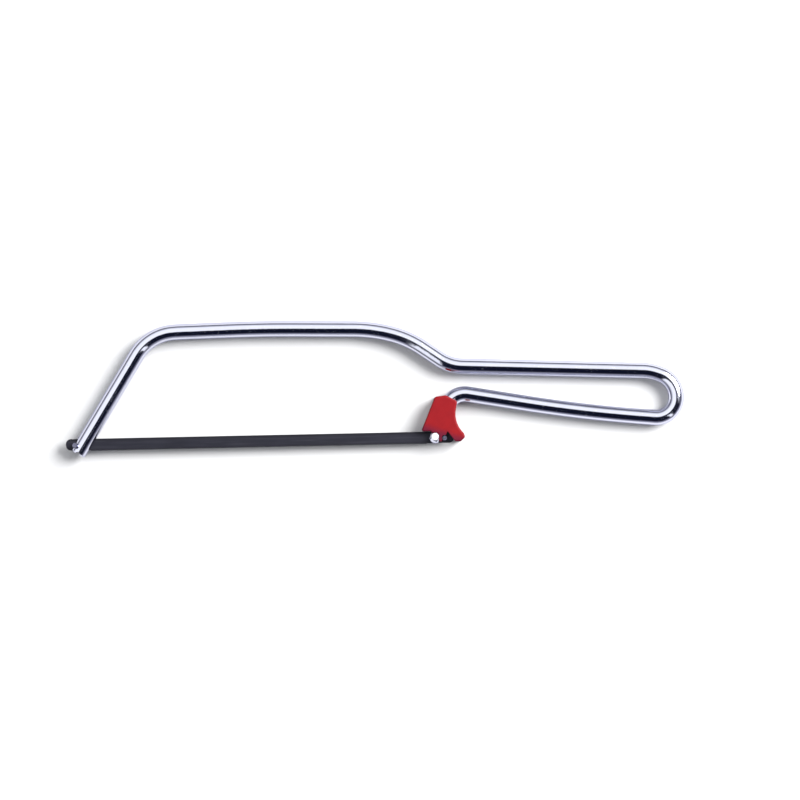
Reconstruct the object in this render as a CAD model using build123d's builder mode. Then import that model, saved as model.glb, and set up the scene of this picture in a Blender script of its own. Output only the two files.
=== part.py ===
"""Junior hacksaw: a bent wire bow with a loop handle, a pinned 150 mm blade and a red tensioning lever.

The saw lies on its side.  +X runs along the blade from its front pin towards the handle, the bow's back is on the
+Y side, the teeth are on the -Y side, and +Z is up, square to the bow.  Shapes are drawn in the saw plane, whose
origin is the centre of the front blade pin, and which lies halfway up the saw.
"""

from build123d import *
import os
from math import atan2, cos, degrees, hypot, radians, sin, tan

os.makedirs("parts", exist_ok=True)

# ---- driving dimensions, mm -------------------------------------------------------------------------------------
PIN_SPACING = 150.0  # between the blade's pins, the standard junior blade
LEVER_WIDTH = 9.6  # across the lever's two cheeks, which the saw lies on
FRONT_PIN_PLACE = (-121.9, -21.95)  # puts the origin under the middle of the saw

WIRE_DIAMETER = 6.3
WIRE_RADIUS = WIRE_DIAMETER / 2

BLADE_HEIGHT = 5.1
BLADE_THICKNESS = 0.65
BLADE_OVERHANG = 3.85  # from each pin to the end of the blade
TOOTH_PITCH = 25.4 / 32
TOOTH_DEPTH = 0.45
TOOTHED_START = 6.4  # from the front pin
TOOTHED_END = 143.0

PIN_RADIUS = 1.05
PIN_LENGTH = 8.2
PIN_CLEARANCE = 0.1

PIVOT = (146.25, 0.6)  # just above the line between the pins, so that the pull holds the lever shut
STUD_RADIUS = 1.65
STUD_TIP_Z = 4.65  # from the saw plane
STUD_CLEARANCE = 0.07

NECK_RADIUS = 2.3  # of the turned-down end of the rear leg
NECK_ABOVE_PIVOT = 5.4
SWING_CLEARANCE = 0.25  # between the neck and the rear pin, which swings about the pivot
SWING_NOTCH_ANGLE = 56.0  # how far up round the pivot the pin's notch reaches

SLOT_WIDTH = 1.0  # the saw cuts in the wire's ends, which the blade runs in
FRONT_SLOT_DEPTH = 10.2
REAR_SLOT_ABOVE_PIVOT = 7.4

CHEEK_INNER_Z = 3.35  # from the saw plane, so a cheek clears the wire by 0.2
LEG_CLEARANCE = 0.2  # between the closed lever's web and the wire

# ---- the saw plane ----------------------------------------------------------------------------------------------
SAW = Plane(origin=(FRONT_PIN_PLACE[0], FRONT_PIN_PLACE[1], LEVER_WIDTH / 2))
REAR_PIN = (PIN_SPACING, 0.0)
PIN_SWING = hypot(REAR_PIN[0] - PIVOT[0], REAR_PIN[1] - PIVOT[1])


def along(point, angle, distance):
    """The point at a distance from another, in the direction of an angle in degrees."""
    return (point[0] + distance * cos(radians(angle)), point[1] + distance * sin(radians(angle)))


# ---- the wire's route: a corner and a bend radius for each bend, from the front end to the rear leg -------------
FRONT_END = (0.9, -3.5)
FRONT_SHOULDER = (30.8, 44.5)
REAR_CORNER = (153.9, 18.5)
BENDS = [
    (FRONT_SHOULDER, 19.0),
    ((42.4, 45.2), 74.0),
    ((76.2, 45.8), 600.0),
    ((121.6, 44.7), 64.0),
    ((136.0, 40.7), 40.0),
    ((152.7, 29.1), 18.0),
    ((234.2, 25.5), 20.0),
    ((244.4, 21.6), 10.0),
    ((244.7, 5.6), 8.1),
    ((207.1, 9.1), 600.0),
    (REAR_CORNER, 7.5),
]
FRONT_LEG_ANGLE = degrees(atan2(FRONT_SHOULDER[1] - FRONT_END[1], FRONT_SHOULDER[0] - FRONT_END[0]))
REAR_LEG_ANGLE = degrees(atan2(REAR_CORNER[1] - PIVOT[1], REAR_CORNER[0] - PIVOT[0]))
REAR_BALL = along(PIVOT, REAR_LEG_ANGLE, 0.3)  # the centre of its rounded tip
HANDLE_ANGLE = degrees(atan2(BENDS[-2][0][1] - REAR_CORNER[1], BENDS[-2][0][0] - REAR_CORNER[0]))
# From the rear corner back to where its bend meets the straight leg.
REAR_BEND_RUN = BENDS[-1][1] * tan(radians(REAR_LEG_ANGLE - HANDLE_ANGLE) / 2)


# ---- bow and handle: one bent wire ------------------------------------------------------------------------------
END_CHAMFER = 0.45
END_GROOVE_RADIUS = 0.9

with BuildPart() as frame_wire:
    with BuildLine(SAW) as route:
        corners = [FRONT_END] + [corner for corner, radius in BENDS] + [REAR_BALL]
        FilletPolyline(*corners, radius=[radius for corner, radius in BENDS])
    with BuildSketch(Plane(origin=route.line @ 0, z_dir=route.line % 0)):
        Circle(WIRE_RADIUS)
    sweep(path=route.line)
    rims = frame_wire.edges().filter_by(GeomType.CIRCLE)
    chamfer(rims.sort_by_distance(route.line @ 0)[0], END_CHAMFER)
    # The rear end is turned down to a neck with a rounded tip.
    with Locations(Location(SAW.from_local_coords((*REAR_BALL, 0)))):
        Sphere(WIRE_RADIUS)
    neck_top = SAW.from_local_coords((*along(PIVOT, REAR_LEG_ANGLE, NECK_ABOVE_PIVOT), 0))
    with BuildSketch(Plane(origin=neck_top, z_dir=route.line % 1)):
        Circle(2 * WIRE_RADIUS)
        Circle(NECK_RADIUS, mode=Mode.SUBTRACT)
    extrude(amount=3 * WIRE_DIAMETER, mode=Mode.SUBTRACT)
    # A saw cut in the saw plane runs up each leg from beyond its end.
    for end, angle, depth in (
        (FRONT_END, FRONT_LEG_ANGLE, FRONT_SLOT_DEPTH),
        (PIVOT, REAR_LEG_ANGLE, REAR_SLOT_ABOVE_PIVOT),
    ):
        middle = along(end, angle, (depth - WIRE_DIAMETER) / 2)
        with BuildSketch(SAW):
            with Locations(Location((*middle, 0), (0, 0, angle))):
                Rectangle(depth + WIRE_DIAMETER, 2 * WIRE_DIAMETER)
        extrude(amount=SLOT_WIDTH / 2, both=True, mode=Mode.SUBTRACT)
    # The front pin's seat is a notch cut in from the front, along the blade, and rounded at its bottom.
    with BuildSketch(SAW):
        seat = PIN_RADIUS + PIN_CLEARANCE
        Circle(seat)
        with Locations((-WIRE_RADIUS, 0)):
            Rectangle(WIRE_DIAMETER, 2 * seat)
    extrude(amount=WIRE_DIAMETER, both=True, mode=Mode.SUBTRACT)
    # A shallow groove crosses the front end's face.
    with BuildSketch(SAW):
        with Locations(FRONT_END):
            Circle(END_GROOVE_RADIUS)
    extrude(amount=WIRE_DIAMETER, both=True, mode=Mode.SUBTRACT)
    # A notch in the neck's rear side leaves room for the rear pin as the lever opens.
    with BuildSketch(SAW):
        with Locations(PIVOT):
            Circle(PIN_SWING + PIN_RADIUS + SWING_CLEARANCE)
            Circle(PIN_SWING - PIN_RADIUS - SWING_CLEARANCE, mode=Mode.SUBTRACT)
        with BuildLine():
            far = 2 * PIN_SWING + WIRE_DIAMETER
            Polyline(PIVOT, *[along(PIVOT, angle, far) for angle in (-50, 0, SWING_NOTCH_ANGLE)], close=True)
        make_face(mode=Mode.INTERSECT)
    extrude(amount=WIRE_DIAMETER, both=True, mode=Mode.SUBTRACT)
    # The pivot studs are pressed into a cross hole.
    with BuildSketch(SAW):
        with Locations(PIVOT):
            Circle(STUD_RADIUS)
    extrude(amount=WIRE_DIAMETER, both=True, mode=Mode.SUBTRACT)

# ---- the lever's pivot studs, one on each side of the blade slot ------------------------------------------------
STUD_CHAMFER = 0.3

with BuildPart() as pivot_studs:
    for side in (-1, 1):
        with BuildSketch(SAW.offset(side * SLOT_WIDTH / 2)):
            with Locations(PIVOT):
                Circle(STUD_RADIUS)
        extrude(amount=side * (STUD_TIP_Z - SLOT_WIDTH / 2))
    tips = pivot_studs.edges().group_by(Axis.Z)
    chamfer(tips[0] + tips[-1], STUD_CHAMFER)

# ---- blade ------------------------------------------------------------------------------------------------------
BLADE_END_RADIUS = 2.0


def tooth_line(start, end, root, tip, pitch):
    """A saw edge: upright faces look to the front, so the saw cuts as it is pushed."""
    points = []
    for number in range(int((end - start) / pitch)):
        x = start + number * pitch
        points += [(x, root), (x, tip), (x + 0.12 * pitch, tip)]
    return points + [(start + (number + 1) * pitch, root)]


with BuildPart() as blade:
    with BuildSketch(SAW) as blade_profile:
        half_height = BLADE_HEIGHT / 2
        with BuildLine():
            gullets = -half_height + TOOTH_DEPTH
            teeth = tooth_line(TOOTHED_START, TOOTHED_END, gullets, -half_height, TOOTH_PITCH)
            Polyline(
                (-BLADE_OVERHANG, half_height),
                (-BLADE_OVERHANG, gullets),
                *teeth,
                (PIN_SPACING + BLADE_OVERHANG, gullets),
                (PIN_SPACING + BLADE_OVERHANG, half_height),
                close=True,
            )
        make_face()
        ends = blade_profile.vertices().group_by(Axis.X)
        fillet(ends[0] + ends[-1], BLADE_END_RADIUS)
        with Locations((0, 0), REAR_PIN):
            Circle(PIN_RADIUS, mode=Mode.SUBTRACT)
    extrude(amount=BLADE_THICKNESS / 2, both=True)


# ---- blade pins, pressed through the blade's ends ---------------------------------------------------------------
def blade_pin(place):
    """A plain cross pin with its ends chamfered."""
    with BuildPart(mode=Mode.PRIVATE) as pin:
        with BuildSketch(SAW):
            with Locations(place):
                Circle(PIN_RADIUS)
        extrude(amount=PIN_LENGTH / 2, both=True)
        ends = pin.edges().filter_by(GeomType.CIRCLE).group_by(Axis.Z)
        chamfer(ends[0] + ends[-1], PIN_RADIUS / 5)
    return pin


front_pin = blade_pin((0, 0))
rear_pin = blade_pin(REAR_PIN)

# ---- tensioning lever: two cheeks that straddle the rear leg, a web in front of it and a solid thumb tab --------
LEVER_FOOT = (140.6, 2.75)  # the lower front corner, just above the blade
LEVER_TOP = ((146.4, 16.7), (150.9, 17.2), (155.5, 14.7))
WAIST = (154.8, 7.6)
TAB = ((157.9, 1.7), (158.4, 0.1), (156.6, -1.6))
CLAW_SIDES = (148.0, 148.75)
ARCH_FRONT_X = 143.6  # the foot is open from here to the claw
TAB_FRONT = ((151.3, 2.7), (154.5, -1.6))  # the tab's front side, behind the rear pin
LEVER_EDGE_RADIUS = 0.7
SLIT_TOP_Y = 11.6  # the blade swings up into the web as the lever opens
SLIT_WIDTH = 1.2
SLIT_SIZE = 30.0  # longer than the lever
TAB_WEB = ((155.0, 0.1), (158.9, 1.3))  # the top of the solid part of the tab
BEYOND_LEVER = (162.0, 22.0, -6.0)  # past its rear, its top and its bottom
WEB_GAP = WIRE_RADIUS + LEG_CLEARANCE

with BuildPart() as tension_lever:
    with BuildSketch(SAW) as silhouette:
        with BuildLine():
            waist = Spline(LEVER_TOP[2], WAIST, TAB[0], tangents=[(-0.25, -1), (1, -1)])
            Polyline(
                waist @ 1,
                *TAB[1:],
                (CLAW_SIDES[0], TAB[2][1]),
                (PIVOT[0] - 2, LEVER_FOOT[1]),
                LEVER_FOOT,
                *LEVER_TOP[:2],
                waist @ 0,
            )
        make_face()
        for corner, radius in (
            (TAB[1], 0.9),
            (TAB[2], 1.0),
            (LEVER_FOOT, 0.6),
            (LEVER_TOP[0], 1.4),
            (LEVER_TOP[1], 0.7),
            (LEVER_TOP[2], 1.0),
        ):
            fillet(silhouette.vertices().sort_by_distance(corner)[0], radius)
    extrude(amount=LEVER_WIDTH / 2, both=True)
    rims = tension_lever.edges().group_by(Axis.Z)
    outline = (rims[0] + rims[-1]).filter_by(lambda edge: (edge @ 0.5).Y > SAW.origin.Y + TAB[2][1] + 0.1)
    foot = outline.filter_by(lambda edge: abs((edge @ 0.5).Y - SAW.origin.Y - LEVER_FOOT[1]) < 0.01)
    fillet([edge for edge in outline if edge not in foot], LEVER_EDGE_RADIUS)

    # The foot opens down over the pivot stud, and behind it over the rear pin; the claw is what stays between.
    rear, top, bottom = BEYOND_LEVER
    with BuildSketch(SAW):
        arch = STUD_RADIUS + STUD_CLEARANCE
        pocket = PIN_RADIUS + PIN_CLEARANCE
        with BuildLine():
            Polyline(
                (ARCH_FRONT_X, bottom),
                (ARCH_FRONT_X, LEVER_FOOT[1]),
                along(PIVOT, 120, arch),
                PIVOT,
                along(PIVOT, -35, arch),
                (CLAW_SIDES[0], TAB[2][1]),
                (CLAW_SIDES[0], bottom),
                close=True,
            )
        make_face()
        with BuildLine():
            Polyline(
                (CLAW_SIDES[1], bottom),
                (CLAW_SIDES[1], TAB[2][1]),
                along(REAR_PIN, 215, pocket),
                REAR_PIN,
                *TAB_FRONT,
                (TAB_FRONT[1][0], bottom),
                close=True,
            )
        make_face()
        with Locations(PIVOT):
            Circle(arch)
        with Locations(REAR_PIN):
            Circle(pocket)
    extrude(amount=LEVER_WIDTH, both=True, mode=Mode.SUBTRACT)

    # The channel that the leg lies in: its floor follows the wire, and it is open to the rear above the tab.
    with BuildSketch(SAW):
        with BuildLine():
            floor_start = along(along(PIVOT, REAR_LEG_ANGLE, -WIRE_DIAMETER), REAR_LEG_ANGLE + 90, WEB_GAP)
            leg_top = along(REAR_CORNER, REAR_LEG_ANGLE, -REAR_BEND_RUN)
            web_floor = Line(floor_start, along(leg_top, REAR_LEG_ANGLE + 90, WEB_GAP))
            bend = JernArc(web_floor @ 1, web_floor % 1, BENDS[-1][1] + WEB_GAP, -45)
            Polyline(
                bend @ 1,
                (rear, top),
                (rear, TAB_WEB[1][1]),
                TAB_WEB[1],
                TAB_WEB[0],
                (TAB_WEB[0][0], bottom),
                web_floor @ 0,
            )
        make_face()
    extrude(amount=CHEEK_INNER_Z, both=True, mode=Mode.SUBTRACT)

    # The slit in the web's lower part takes the blade.
    with BuildSketch(SAW):
        with Locations((PIVOT[0], SLIT_TOP_Y)):
            Rectangle(SLIT_SIZE, SLIT_SIZE, align=(Align.CENTER, Align.MAX))
    extrude(amount=SLIT_WIDTH / 2, both=True, mode=Mode.SUBTRACT)

for node, label in (
    (frame_wire, "frame_wire"),
    (pivot_studs, "pivot_studs"),
    (blade, "blade"),
    (front_pin, "blade_front_pin"),
    (rear_pin, "blade_rear_pin"),
    (tension_lever, "tension_lever"),
):
    node.part.label = label
    export_step(node.part, f"parts/{label}.step")
    print(label, node.part.bounding_box(), round(node.part.volume, 1))
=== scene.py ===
"""The looks of a junior hacksaw, seen from above.

It has a chromed bow of bent wire, a pinned blade and a red tensioning lever.
"""

import bmesh
import bpy
from math import asin, atan2, ceil, cos, degrees, hypot, pi, radians, sin, tan
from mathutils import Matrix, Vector


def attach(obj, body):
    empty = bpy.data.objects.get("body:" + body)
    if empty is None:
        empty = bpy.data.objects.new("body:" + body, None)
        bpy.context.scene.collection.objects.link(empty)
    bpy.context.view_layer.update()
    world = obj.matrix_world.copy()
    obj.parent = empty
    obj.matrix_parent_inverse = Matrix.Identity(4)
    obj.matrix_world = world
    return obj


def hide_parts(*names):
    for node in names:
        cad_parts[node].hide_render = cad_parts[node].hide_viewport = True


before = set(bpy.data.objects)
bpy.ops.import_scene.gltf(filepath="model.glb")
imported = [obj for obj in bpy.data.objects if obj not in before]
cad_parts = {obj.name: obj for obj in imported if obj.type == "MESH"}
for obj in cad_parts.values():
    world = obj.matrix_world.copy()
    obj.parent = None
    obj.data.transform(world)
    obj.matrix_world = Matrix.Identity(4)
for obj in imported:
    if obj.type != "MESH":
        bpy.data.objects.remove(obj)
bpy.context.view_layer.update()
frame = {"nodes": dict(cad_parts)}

MM = 0.001

# ---- measures of the saw, mm, in the saw plane whose origin is the front blade pin ---------------
FRONT_PIN = (-121.9, -21.95)
SAW_Z = 4.8
WIRE_RADIUS = 3.15
NECK_RADIUS = 2.3  # of the turned-down end of the rear leg
NECK_ABOVE_PIVOT = 5.4
REAR_TIP_ABOVE_PIVOT = 0.3  # to the centre of the neck's rounded tip
END_CHAMFER = 0.45
NECK_CHAMFER = 0.15
SLOT_HALF_WIDTH = 0.5
FRONT_SLOT_DEPTH = 10.2
REAR_SLOT_ABOVE_PIVOT = 7.4
SEAT_RADIUS = 1.15  # round the front pin
GROOVE_RADIUS = 0.9
STUD_RADIUS = 1.65
SWING_NOTCH_HALF_WIDTH = 1.3  # the rear pin's radius and its clearance
SWING_NOTCH_START = -50  # degrees round the pivot
SWING_NOTCH_TURN = 106
PAST = 5.0  # how far a cutter reaches beyond the wire's surface
PIVOT = (146.25, 0.6)
REAR_PIN = (150.0, 0.0)
FRONT_END = (0.9, -3.5)
REAR_CORNER = (153.9, 18.5)
BENDS = [
    ((30.8, 44.5), 19.0),
    ((42.4, 45.2), 74.0),
    ((76.2, 45.8), 600.0),
    ((121.6, 44.7), 64.0),
    ((136.0, 40.7), 40.0),
    ((152.7, 29.1), 18.0),
    ((234.2, 25.5), 20.0),
    ((244.4, 21.6), 10.0),
    ((244.7, 5.6), 8.1),
    ((207.1, 9.1), 600.0),
    (REAR_CORNER, 7.5),
]


def along(point, angle, distance):
    """The point at a distance from another, in the direction of an angle in degrees."""
    return (point[0] + distance * cos(radians(angle)), point[1] + distance * sin(radians(angle)))


def row(x, y, z=0.0):
    """A point of the saw plane, in mm, as a point of the scene, in metres."""
    return Vector(((x + FRONT_PIN[0]) * MM, (y + FRONT_PIN[1]) * MM, (z + SAW_Z) * MM))


REAR_LEG_ANGLE = degrees(atan2(REAR_CORNER[1] - PIVOT[1], REAR_CORNER[0] - PIVOT[0]))
FRONT_LEG_ANGLE = degrees(atan2(BENDS[0][0][1] - FRONT_END[1], BENDS[0][0][0] - FRONT_END[0]))


# ---- meshes --------------------------------------------------------------------------------------
def new_object(name, verts, faces, smooth=True):
    """A mesh object whose faces all look outwards."""
    mesh = bpy.data.meshes.new(name)
    mesh.from_pydata([tuple(v) for v in verts], [], faces)
    mesh.validate()
    turned = bmesh.new()
    turned.from_mesh(mesh)
    bmesh.ops.recalc_face_normals(turned, faces=turned.faces)
    turned.to_mesh(mesh)
    turned.free()
    for polygon in mesh.polygons:
        polygon.use_smooth = smooth
    obj = bpy.data.objects.new(name, mesh)
    bpy.context.scene.collection.objects.link(obj)
    return obj


def prism(name, outline, low, high):
    """An outline in the saw plane, drawn from one height to another."""
    n = len(outline)
    verts = [row(x, y, low) for x, y in outline] + [row(x, y, high) for x, y in outline]
    faces = [list(range(n)), list(range(n, 2 * n))]
    faces += [[i, (i + 1) % n, n + (i + 1) % n, n + i] for i in range(n)]
    return new_object(name, verts, faces, smooth=False)


def disc(centre, radius, count=48):
    """Points round a circle in the saw plane."""
    return [along(centre, 360 * i / count, radius) for i in range(count)]


def cut(obj, *cutters):
    """Takes the cutters' shapes out of obj, and removes them."""
    for cutter in cutters:
        modifier = obj.modifiers.new("cut", "BOOLEAN")
        modifier.operation = "DIFFERENCE"
        modifier.solver = "EXACT"
        modifier.object = cutter
    bpy.context.view_layer.update()
    result = bpy.data.meshes.new_from_object(obj.evaluated_get(bpy.context.evaluated_depsgraph_get()))
    obj.modifiers.clear()
    obj.data = result
    for cutter in cutters:
        bpy.data.objects.remove(cutter)


SAMPLE_STEP = 1.5  # mm along the wire
SAMPLE_TURN = radians(3)


def wire_route():
    """Samples of the wire's centreline: point, and direction angle in radians."""
    rear_tip = along(PIVOT, REAR_LEG_ANGLE, REAR_TIP_ABOVE_PIVOT)
    corners = [FRONT_END] + [corner for corner, radius in BENDS] + [rear_tip]
    samples = []
    here = Vector(FRONT_END)
    for (corner, radius), after in zip(BENDS, corners[2:]):
        corner, after = Vector(corner), Vector(after)
        inward, outward = (corner - here).normalized(), (after - corner).normalized()
        turn = -inward.angle_signed(outward)
        reach = radius * tan(abs(turn) / 2)
        start, side = corner - inward * reach, 1 if turn > 0 else -1
        heading = atan2(inward.y, inward.x)
        run = (start - here).length
        steps = max(1, ceil(run / SAMPLE_STEP))
        samples += [(here + inward * run * i / steps, heading) for i in range(steps)]
        centre = start + Vector((-sin(heading), cos(heading))) * side * radius
        steps = max(2, ceil(abs(turn) / SAMPLE_TURN), ceil(abs(turn) * radius / SAMPLE_STEP))
        for i in range(steps):
            angle = heading + turn * i / steps
            samples.append((centre + Vector((sin(angle), -cos(angle))) * side * radius, angle))
        here = corner + outward * reach
    last = Vector(rear_tip)
    inward = (last - here).normalized()
    run = (last - here).length
    heading = atan2(inward.y, inward.x)
    steps = ceil(run / SAMPLE_STEP)
    return samples + [(here + inward * run * i / steps, heading) for i in range(steps + 1)]


RING = 72  # points round the wire
DOME_RINGS = 10


def wire_mesh(name):
    """The bent wire, with a chamfered front end and a turned-down rear end, still uncut."""
    samples = wire_route()
    rings = []
    first_point, first_heading = samples[0]
    forward = Vector((cos(first_heading), sin(first_heading)))
    rings.append((first_point, first_heading, WIRE_RADIUS - END_CHAMFER))
    rings.append((first_point + forward * END_CHAMFER, first_heading, WIRE_RADIUS))
    neck_top = Vector(along(PIVOT, REAR_LEG_ANGLE, NECK_ABOVE_PIVOT))
    last_point, last_heading = samples[-1]
    ahead = Vector((cos(last_heading), sin(last_heading)))
    for point, heading in samples[1:]:
        if (point - last_point).length > (neck_top - last_point).length + 0.05:
            rings.append((point, heading, WIRE_RADIUS))
    rings += [(neck_top, last_heading, radius) for radius in (WIRE_RADIUS, NECK_RADIUS + NECK_CHAMFER)]
    rings.append((neck_top + ahead * NECK_CHAMFER, last_heading, NECK_RADIUS))
    # The neck ends in a dome of the wire's own radius.
    widest = asin(NECK_RADIUS / WIRE_RADIUS)
    for step in range(DOME_RINGS):
        tilt = widest * (1 - step / DOME_RINGS)
        rings.append((last_point + ahead * WIRE_RADIUS * cos(tilt), last_heading, WIRE_RADIUS * sin(tilt)))
    verts = []
    for point, heading, radius in rings:
        across = Vector((-sin(heading), cos(heading)))
        for i in range(RING):
            angle = 2 * pi * i / RING
            place = point + across * radius * cos(angle)
            verts.append(row(place.x, place.y, radius * sin(angle)))
    faces = []
    for r in range(len(rings) - 1):
        for i in range(RING):
            a, b = r * RING + i, r * RING + (i + 1) % RING
            faces.append([a, b, b + RING, a + RING])
    faces.append(list(range(RING)))
    tip = last_point + ahead * WIRE_RADIUS
    verts.append(row(tip.x, tip.y))
    last = (len(rings) - 1) * RING
    faces += [[last + i, last + (i + 1) % RING, len(verts) - 1] for i in range(RING)]
    return new_object(name, verts, faces), samples


def wire_cutters():
    """The slots, the pin's seat, the notch and the holes of the wire's two ends."""
    cutters = []
    slots = ((FRONT_END, FRONT_LEG_ANGLE, FRONT_SLOT_DEPTH), (PIVOT, REAR_LEG_ANGLE, REAR_SLOT_ABOVE_PIVOT))
    for end, angle, depth in slots:
        low, high = along(end, angle, -PAST - 1), along(end, angle, depth)
        sides = ((low, 90), (low, -90), (high, -90), (high, 90))
        outline = [along(point, angle + turn, PAST) for point, turn in sides]
        cutters.append(prism("slot", outline, -SLOT_HALF_WIDTH, SLOT_HALF_WIDTH))
    # The seat is round at its bottom and open to the front.
    outline = [along((0, 0), 90 - 7.5 * i, SEAT_RADIUS) for i in range(25)]
    outline += [(-PAST, -SEAT_RADIUS), (-PAST, SEAT_RADIUS)]
    cutters.append(prism("seat", outline, -PAST, PAST))
    cutters.append(prism("groove", disc(FRONT_END, GROOVE_RADIUS), -PAST, PAST))
    # The rear pin swings about the pivot, in a notch in the neck's rear side.
    swing = hypot(REAR_PIN[0] - PIVOT[0], REAR_PIN[1] - PIVOT[1])
    turns = [SWING_NOTCH_START + SWING_NOTCH_TURN * i / 40 for i in range(41)]
    outline = [along(PIVOT, turn, swing + SWING_NOTCH_HALF_WIDTH) for turn in turns]
    outline += [along(PIVOT, turn, swing - SWING_NOTCH_HALF_WIDTH) for turn in reversed(turns)]
    cutters.append(prism("notch", outline, -PAST, PAST))
    cutters.append(prism("hole", disc(PIVOT, STUD_RADIUS), -PAST, PAST))
    return cutters


CELL = 6.0  # mm, of the grid that sorts the centreline's samples
ON_SURFACE = 0.02  # mm off a round surface
SHARP = 0.94  # the cosine beyond which a face is taken as flat


def analytic_normals(obj, samples):
    """Sets the shading of the round surface from the wire's own shape, so its reflections run smoothly."""
    mesh = obj.data
    points = [(point.x, point.y, heading) for point, heading in samples]
    cells = {}
    for index, (x, y, heading) in enumerate(points):
        cells.setdefault((int(x // CELL), int(y // CELL)), []).append(index)

    def nearest(x, y):
        best, found = 1e9, 0
        for i in range(-1, 2):
            for j in range(-1, 2):
                for index in cells.get((int(x // CELL) + i, int(y // CELL) + j), ()):
                    px, py, _ = points[index]
                    distance = (px - x) ** 2 + (py - y) ** 2
                    if distance < best:
                        best, found = distance, index
        return found

    radial = []
    for vertex in mesh.vertices:
        x = vertex.co.x / MM - FRONT_PIN[0]
        y = vertex.co.y / MM - FRONT_PIN[1]
        z = vertex.co.z / MM - SAW_Z
        index = nearest(x, y)
        px, py, heading = points[index]
        ahead = Vector((cos(heading), sin(heading)))
        if 0 < index < len(points) - 1:
            # The heading between two samples turns with the place along them.
            step = (Vector((x, y)) - Vector((px, py))).dot(ahead)
            other = index + (1 if step > 0 else -1)
            gap = (Vector(points[other][:2]) - Vector((px, py))).length
            share = min(1.0, abs(step) / gap) if gap else 0.0
            heading += (points[other][2] - heading) * share
            ahead = Vector((cos(heading), sin(heading)))
        across = Vector((-sin(heading), cos(heading)))
        offset = (Vector((x, y)) - Vector((px, py))).dot(across)
        length = hypot(offset, z)
        if min(abs(length - WIRE_RADIUS), abs(length - NECK_RADIUS)) < ON_SURFACE:
            radial.append(Vector((across.x * offset, across.y * offset, z)).normalized())
        else:
            radial.append(None)
    normals = []
    for polygon in mesh.polygons:
        for vertex in polygon.vertices:
            normal = radial[vertex]
            if normal is None or normal.dot(polygon.normal) < SHARP:
                normal = polygon.normal
            normals.append(tuple(normal))
    mesh.normals_split_custom_set(normals)


# ---- shading -------------------------------------------------------------------------------------
class Nodes:
    """A short way to write a node tree."""

    def __init__(self, tree):
        self.tree = tree
        tree.nodes.clear()

    def add(self, kind, inputs=(), **settings):
        node = self.tree.nodes.new(kind)
        for name, value in settings.items():
            setattr(node, name, value)
        for name, value in dict(inputs).items():
            self.put(node.inputs[name], value)
        return node

    def put(self, socket, value):
        if isinstance(value, bpy.types.NodeSocket):
            self.tree.links.new(value, socket)
        elif isinstance(value, bpy.types.Node):
            self.tree.links.new(value.outputs[0], socket)
        else:
            socket.default_value = value

    def math(self, operation, a, b=0.0, c=0.0):
        return self.add("ShaderNodeMath", {0: a, 1: b, 2: c}, operation=operation).outputs[0]

    def axes(self, vector):
        return self.add("ShaderNodeSeparateXYZ", {0: vector}).outputs

    def noise(self, vector, scale, detail=2.0, roughness=0.5):
        inputs = {"Vector": vector, "Scale": scale, "Detail": detail, "Roughness": roughness}
        return self.add("ShaderNodeTexNoise", inputs).outputs["Fac"]

    def ramp(self, value, start, end):
        """A smooth step between two (place, value) stops, as a number."""
        node = self.add("ShaderNodeMapRange", {"Value": value}, interpolation_type="SMOOTHSTEP")
        (low, a), (high, b) = start, end
        for name, number in (("From Min", low), ("From Max", high), ("To Min", a), ("To Max", b)):
            node.inputs[name].default_value = number
        return node.outputs[0]

    def mix(self, factor, a, b):
        node = self.add("ShaderNodeMix", data_type="RGBA")
        for socket, value in ((node.inputs[0], factor), (node.inputs[6], a), (node.inputs[7], b)):
            self.put(socket, value)
        return node.outputs[2]

    def bump(self, height, distance, strength=1.0, normal=None):
        node = self.add("ShaderNodeBump", {"Height": height, "Distance": distance, "Strength": strength})
        if normal is not None:
            self.put(node.inputs["Normal"], normal)
        return node.outputs[0]


def material(name):
    """A new material, its node tree, its shader and the place on the object, in metres."""
    found = bpy.data.materials.new(name)
    found.use_nodes = True
    nodes = Nodes(found.node_tree)
    shader = nodes.add("ShaderNodeBsdfPrincipled")
    nodes.add("ShaderNodeOutputMaterial", {"Surface": shader})
    place = nodes.add("ShaderNodeTexCoord").outputs["Object"]
    return found, nodes, shader, place


def chrome():
    """Bright plating, a little smeared, with fine pits."""
    found, nodes, shader, place = material("chrome")
    shader.inputs["Metallic"].default_value = 1.0
    shader.inputs["Specular Tint"].default_value = (0.45, 0.45, 0.60, 1)
    smears = nodes.noise(place, 160, 4, 0.6)
    specks = nodes.noise(place, 2600, 3, 0.6)
    pits = nodes.ramp(specks, (0.69, 0.0), (0.74, 1.0))
    tone = nodes.mix(smears, (0.60, 0.61, 0.71, 1), (0.68, 0.69, 0.79, 1))
    nodes.put(shader.inputs["Base Color"], nodes.mix(pits, tone, (0.22, 0.20, 0.19, 1)))
    dull = nodes.math("MULTIPLY_ADD", smears, 0.08, 0.04)
    nodes.put(shader.inputs["Roughness"], nodes.math("MULTIPLY_ADD", pits, 0.3, dull))
    ripple = nodes.noise(place, 420, 2)
    raised = nodes.bump(ripple, 0.00002)
    nodes.put(shader.inputs["Normal"], nodes.bump(pits, 0.00003, 0.6, raised))
    return found


BLADE_MIDDLE_Y = FRONT_PIN[1] * MM


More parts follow.
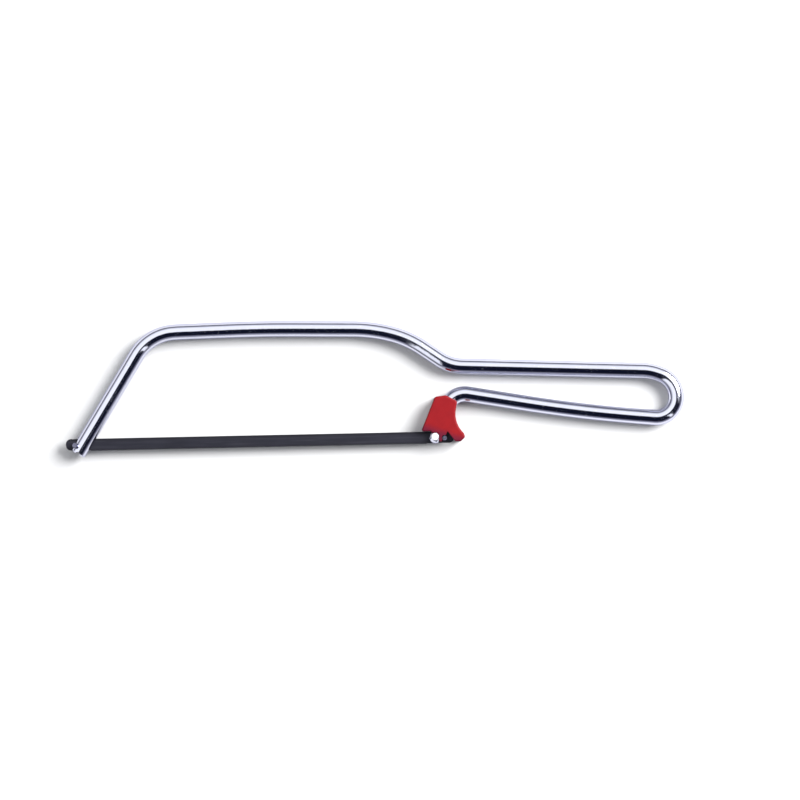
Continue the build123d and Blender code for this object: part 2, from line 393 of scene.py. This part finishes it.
def blade_steel():
    """Blued steel with fine lines from rolling."""
    found, nodes, shader, place = material("blued_steel")
    shader.inputs["Metallic"].default_value = 0.6
    stretched = nodes.add("ShaderNodeMapping", {"Vector": place, "Scale": (60, 2200, 60)})
    lines = nodes.noise(stretched, 1, 3)
    patches = nodes.noise(place, 110, 4, 0.6)
    tone = nodes.mix(patches, (0.007, 0.007, 0.013, 1), (0.015, 0.015, 0.025, 1))
    tone = nodes.mix(nodes.ramp(lines, (0.45, 0.0), (0.75, 0.5)), tone, (0.034, 0.034, 0.046, 1))
    # The colour is darker along the back and the teeth.
    x, y, z = nodes.axes(place)
    off_middle = nodes.math("ABSOLUTE", nodes.math("SUBTRACT", y, BLADE_MIDDLE_Y))
    edges = nodes.ramp(off_middle, (0.0011, 0.0), (0.0024, 0.8))
    tone = nodes.mix(edges, tone, (0.005, 0.005, 0.009, 1))
    nodes.put(shader.inputs["Base Color"], tone)
    nodes.put(shader.inputs["Roughness"], nodes.math("MULTIPLY_ADD", patches, 0.15, 0.40))
    nodes.put(shader.inputs["Normal"], nodes.bump(lines, 0.00001))
    return found


def turned_steel(name, dark, bright, roughness):
    """Bare steel with a fine grain."""
    found, nodes, shader, place = material(name)
    shader.inputs["Metallic"].default_value = 1.0
    grain = nodes.noise(place, 2400, 3)
    nodes.put(shader.inputs["Base Color"], nodes.mix(grain, dark, bright))
    nodes.put(shader.inputs["Roughness"], nodes.math("MULTIPLY_ADD", grain, 0.12, roughness))
    nodes.put(shader.inputs["Normal"], nodes.bump(grain, 0.00001))
    return found


PAINTED_SHADE_FULL, PAINTED_SHADE_GONE = -0.0106, -0.0072  # where the painted shade ends, in metres up the lever
PAINTED_SHADE_SLOPE = 0.35  # of its edge


def red_plastic():
    """Moulded red plastic, with painted shade on its lower front by the pivot."""
    found, nodes, shader, place = material("red_plastic")
    patches = nodes.noise(place, 240, 3)
    grain = nodes.noise(place, 3200, 3, 0.6)
    tone = nodes.mix(patches, (0.150, 0.003, 0.006, 1), (0.205, 0.005, 0.007, 1))
    # Painted shade darkens the lower front of the lever, by the pivot.
    x, y, z = nodes.axes(place)
    wavy = nodes.math("MULTIPLY_ADD", patches, 0.0016, y)
    height = nodes.math("ADD", wavy, nodes.math("MULTIPLY", x, PAINTED_SHADE_SLOPE))
    painted_shade = nodes.ramp(height, (PAINTED_SHADE_FULL, 0.75), (PAINTED_SHADE_GONE, 0.0))
    tone = nodes.mix(painted_shade, tone, (0.060, 0.004, 0.018, 1))
    nodes.put(shader.inputs["Base Color"], tone)
    nodes.put(shader.inputs["Roughness"], nodes.math("MULTIPLY_ADD", grain, 0.18, 0.36))
    shader.inputs["Specular IOR Level"].default_value = 0.12
    nodes.put(shader.inputs["Normal"], nodes.bump(grain, 0.00002))
    return found


def give(obj, finish):
    obj.data.materials.clear()
    obj.data.materials.append(finish)


# ---- the saw -------------------------------------------------------------------------------------
CHROME, BLUED, RED = chrome(), blade_steel(), red_plastic()
STUD = turned_steel("bright_steel", (0.86, 0.86, 0.90, 1), (0.96, 0.96, 0.98, 1), 0.38)
PIN = turned_steel("pin_steel", (0.16, 0.16, 0.24, 1), (0.28, 0.28, 0.38, 1), 0.18)

wire, route = wire_mesh("bow_wire")
cut(wire, *wire_cutters())
analytic_normals(wire, route)
give(wire, CHROME)
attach(wire, "frame")
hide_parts("frame_wire")

nodes = frame["nodes"]
give(nodes["blade"], BLUED)
for name in ("blade_front_pin", "blade_rear_pin"):
    give(nodes[name], PIN)
give(nodes["pivot_studs"], STUD)
give(nodes["tension_lever"], RED)


# ---- stage ---------------------------------------------------------------------------------------
FLOOR_REACH = 3.0
corners = [(x * FLOOR_REACH, y * FLOOR_REACH, 0) for x, y in ((-1, -1), (1, -1), (1, 1), (-1, 1))]
floor = new_object("floor", corners, [[0, 1, 2, 3]], smooth=False)
paper, _, paper_shader, _ = material("paper")
paper_shader.inputs["Base Color"].default_value = (0.55, 0.55, 0.55, 1)
paper_shader.inputs["Roughness"].default_value = 0.9
paper_shader.inputs["Specular IOR Level"].default_value = 0.1
give(floor, paper)


def sky():
    """The studio round the saw: bright to the left and behind, dark to the front right but for one panel."""
    world = bpy.data.worlds.new("studio")
    bpy.context.scene.world = world
    world.use_nodes = True
    nodes = Nodes(world.node_tree)
    x, y, z = nodes.axes(nodes.add("ShaderNodeTexCoord").outputs["Generated"])
    azimuth = nodes.math("MULTIPLY", nodes.math("ARCTAN2", y, x), 180 / pi)
    tilt = nodes.math("MULTIPLY", nodes.math("ARCCOSINE", z), 180 / pi)

    def product(a, b):
        return nodes.math("MULTIPLY", a, b)

    # The dark part is in front of one upright plane through the saw, and to the right of another.
    in_front = nodes.math("SUBTRACT", product(x, -0.35), y)
    to_right = nodes.math("SUBTRACT", product(x, 0.906), product(y, 0.4226))
    dark = product(
        nodes.ramp(in_front, (-0.26, 0.0), (-0.04, 1.0)),
        nodes.ramp(to_right, (-0.08, 0.0), (-0.02, 1.0)),
    )
    # A dark screen stands at the right end too.
    aside = nodes.math("ABSOLUTE", nodes.math("SUBTRACT", azimuth, 2.0))
    screen = product(
        nodes.ramp(aside, (12.0, 0.95), (24.0, 0.0)),
        nodes.ramp(tilt, (24.0, 0.0), (54.0, 1.0)),
    )
    dark = nodes.math("MAXIMUM", dark, screen)
    # A narrow bright panel stands in the dark part.
    off = nodes.math("ABSOLUTE", nodes.math("ADD", azimuth, 48.0))
    panel = product(
        nodes.ramp(off, (3.0, 1.0), (5.0, 0.0)),
        nodes.ramp(tilt, (12.0, 0.0), (20.0, 1.0)),
    )
    dark = product(dark, nodes.math("SUBTRACT", 1.0, panel))
    lit_fall = nodes.ramp(tilt, (44.0, 0.0), (84.0, 1.0))
    lit = nodes.mix(lit_fall, (1.40, 1.42, 1.46, 1), (0.12, 0.12, 0.16, 1))
    unlit_rise = nodes.ramp(tilt, (54.0, 0.0), (88.0, 1.0))
    unlit = nodes.mix(unlit_rise, (0.006, 0.008, 0.022, 1), (0.46, 0.46, 0.56, 1))
    background = nodes.add("ShaderNodeBackground", {"Color": nodes.mix(dark, lit, unlit), "Strength": 1.0})
    nodes.add("ShaderNodeOutputWorld", {"Surface": background})


sky()


def softbox(name, azimuth, elevation, distance, width, power):
    """A round lamp that faces the saw's middle; the angles are in degrees."""
    data = bpy.data.lights.new(name, "AREA")
    data.energy = power
    data.shape = "DISK"
    data.size = width
    lamp = bpy.data.objects.new(name, data)
    bpy.context.scene.collection.objects.link(lamp)
    a, e = radians(azimuth), radians(elevation)
    toward = Vector((cos(a) * cos(e), sin(a) * cos(e), sin(e)))
    lamp.location = toward * distance
    lamp.rotation_euler = toward.to_track_quat("Z", "Y").to_euler()


softbox("key", azimuth=27, elevation=41, distance=1.4, width=0.95, power=54.0)

# ---- camera --------------------------------------------------------------------------------------
CAMERA_HEIGHT = 1.6
CAMERA_OVER = (132.26, 15.67)  # mm in the saw plane
CAMERA_TURN = -1.2  # degrees
VIEW_WIDTH = 0.3252  # metres across the picture, at the saw plane
camera_data = bpy.data.cameras.new("camera")
camera_data.sensor_width = 36.0
camera_data.lens = camera_data.sensor_width * (CAMERA_HEIGHT - SAW_Z * MM) / VIEW_WIDTH
camera_data.clip_end = 10.0
camera = bpy.data.objects.new("camera", camera_data)
bpy.context.scene.collection.objects.link(camera)
camera.location = row(*CAMERA_OVER)
camera.location.z = CAMERA_HEIGHT
camera.rotation_euler = (0, 0, radians(CAMERA_TURN))
bpy.context.scene.camera = camera

bpy.context.scene.view_settings.view_transform = "Standard"
bpy.context.scene.view_settings.look = "None"
